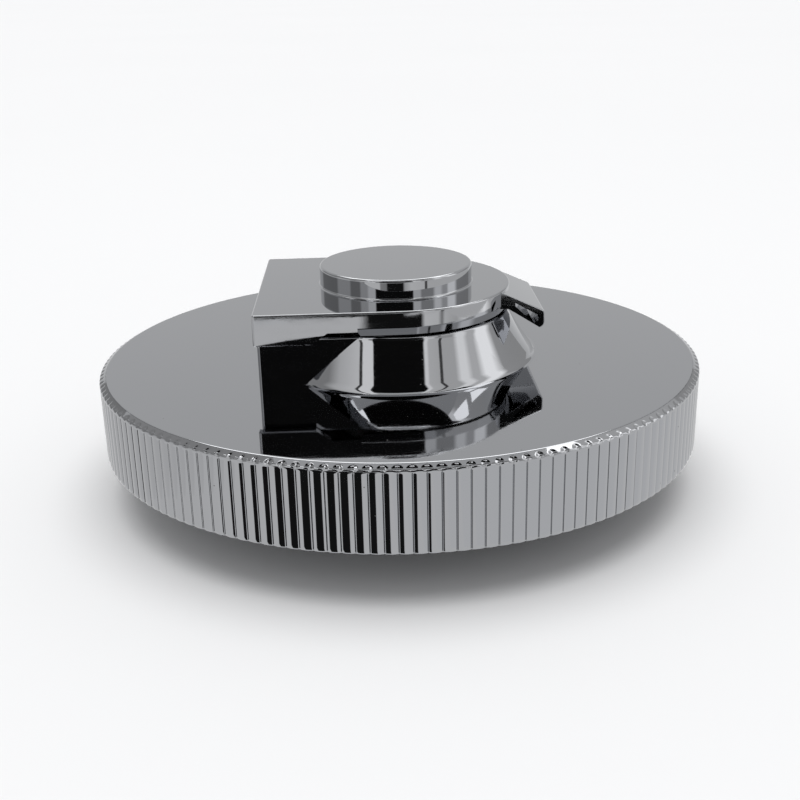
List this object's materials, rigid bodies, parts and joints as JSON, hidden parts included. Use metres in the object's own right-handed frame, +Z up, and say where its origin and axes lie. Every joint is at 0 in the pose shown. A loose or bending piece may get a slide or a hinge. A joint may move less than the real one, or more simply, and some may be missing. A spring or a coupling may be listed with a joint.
{
  "type": "deck fill cap",
  "caption": "Round reeded chrome filler cap with a key lock under a sprung flip lid, a bayonet neck plug, sliding locking tongues and a vent valve.",
  "frame": {"origin": "on the cap's axis, at the plug's lowest face, where the cap stands", "axes": "+Z up along the cap's axis, out of the filler neck; -X is the side of the lid's hinge, +X the side of its thumb tab"},
  "size_m": [0.09, 0.09, 0.0331],
  "materials": {
    "chrome_plate": "bright mirror chrome plating",
    "steel": "plain turned stainless steel",
    "spring_steel": "drawn spring wire",
    "zinc_cast": "bare die-cast zinc, dull",
    "brass": "machined brass",
    "black_nylon": "moulded black nylon",
    "black_rubber": "moulded nitrile rubber"
  },
  "bodies": {
    "cap": {"cap_shell": "chrome_plate", "lock_boss": "chrome_plate", "boss_screws": "steel", "hinge_pin": "steel", "lock_body": "steel", "lock_gasket": "black_rubber", "lock_nut": "steel", "neck_plug": "black_nylon", "floor_plate": "black_nylon", "floor_screws": "steel", "post_screws": "steel", "main_gasket": "black_rubber", "vent_cap": "black_nylon"},
    "lid": {"flip_lid": "chrome_plate", "lid_spring": "spring_steel"},
    "lock_plug": {"key_plug": "steel", "wafers": "brass", "wafer_springs": "spring_steel", "retaining_clip": "spring_steel", "cam_disc": "zinc_cast", "cam_screw": "steel"},
    "tongue_right": {"tongue_right": "steel"},
    "tongue_left": {"tongue_left": "steel"},
    "vent_valve": {"vent_disc": "black_nylon", "vent_seal": "black_rubber", "vent_spring": "spring_steel"}
  },
  "joints": [
    {"name": "lid_flip", "type": "hinge", "parent": "cap", "child": "lid", "pos_m": [-0.0189, 0, 0.0274], "axis": [0, -1, 0], "range_deg": [0, 100], "stiffness_Nm_per_rad": 0.01, "springref_deg": -28.65},
    {"name": "key_turn", "type": "hinge", "parent": "cap", "child": "lock_plug", "pos_m": [0, 0, 0.031], "axis": [0, 0, 1], "range_deg": [0, 90]},
    {"name": "tongue_right_slide", "type": "slide", "parent": "cap", "child": "tongue_right", "axis": [-1, 0, 0], "range_m": [0, 0.0035]},
    {"name": "tongue_left_slide", "type": "slide", "parent": "cap", "child": "tongue_left", "axis": [1, 0, 0], "range_m": [0, 0.0035]},
    {"name": "vent_lift", "type": "slide", "parent": "cap", "child": "vent_valve", "axis": [0, 0, 1], "range_m": [0, 0.0015], "stiffness_N_per_m": 60, "springref_m": -0.002, "deforming": ["vent_spring"]}
  ],
  "couplings": [
    {"joint": "tongue_right_slide", "follows": "key_turn", "m_per_rad": 0.0022282},
    {"joint": "tongue_left_slide", "follows": "key_turn", "m_per_rad": 0.0022282}
  ]
}
